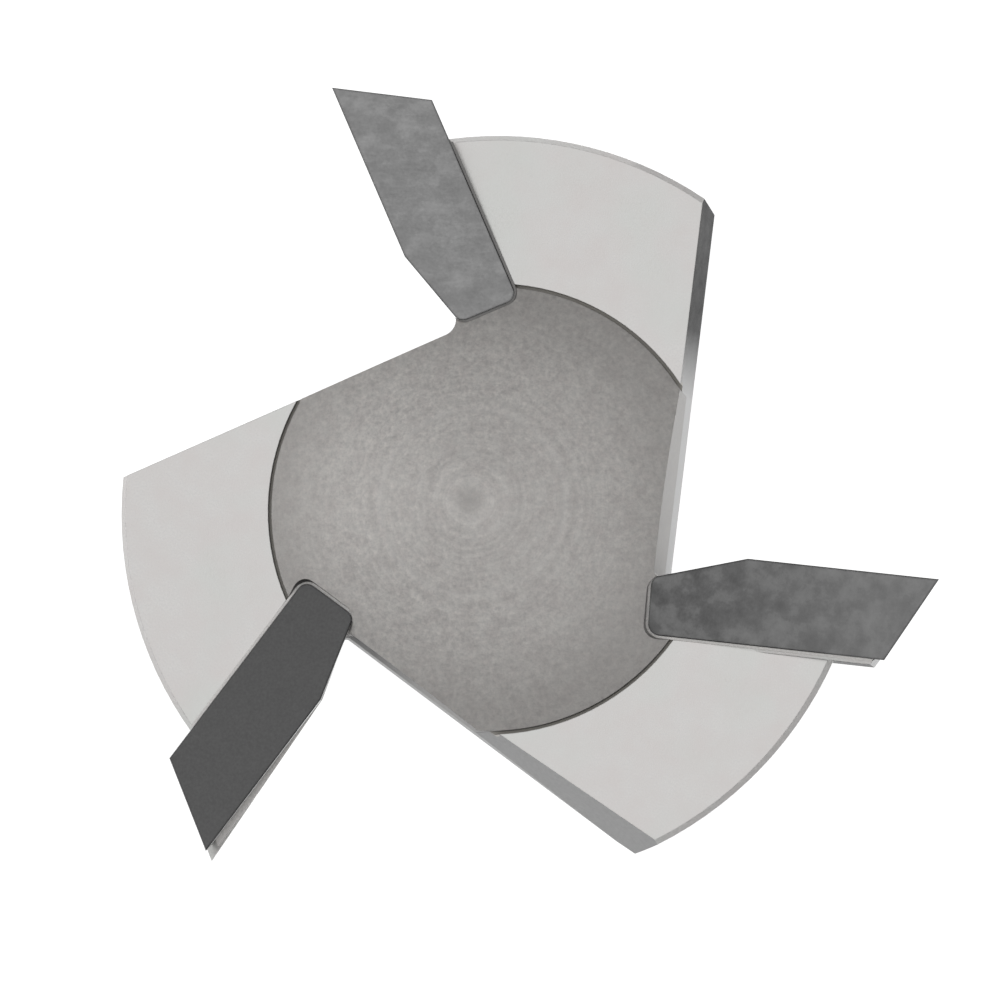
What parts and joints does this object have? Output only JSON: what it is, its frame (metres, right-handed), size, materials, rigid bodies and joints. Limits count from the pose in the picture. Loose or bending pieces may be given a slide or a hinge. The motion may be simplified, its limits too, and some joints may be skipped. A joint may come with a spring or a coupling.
{
  "type": "angle grinder carving disc",
  "caption": "Steel carving disc for an angle grinder: domed hub with a blind spindle thread, winged flange and pitched carbide blades brazed at its gullets.",
  "frame": {"origin": "on the disc axis, at the end of the hub's boss that seats on the grinder's spindle shoulder", "axes": "+Z along the disc axis, out of the domed working face; the first blade points 23 degrees anticlockwise of +Y"},
  "size_m": [0.0832, 0.0778, 0.0196],
  "materials": {
    "hub_steel": "turned and fine-blasted",
    "flange_steel": "fine satin",
    "carbide": "ground tungsten carbide",
    "silver_braze": "silver brazing filler, as run"
  },
  "bodies": {
    "root": {"hub": "hub_steel", "flange": "flange_steel", "blade_1": "carbide", "blade_2": "carbide", "blade_3": "carbide", "braze_1": "silver_braze", "braze_2": "silver_braze", "braze_3": "silver_braze"}
  },
  "joints": []
}
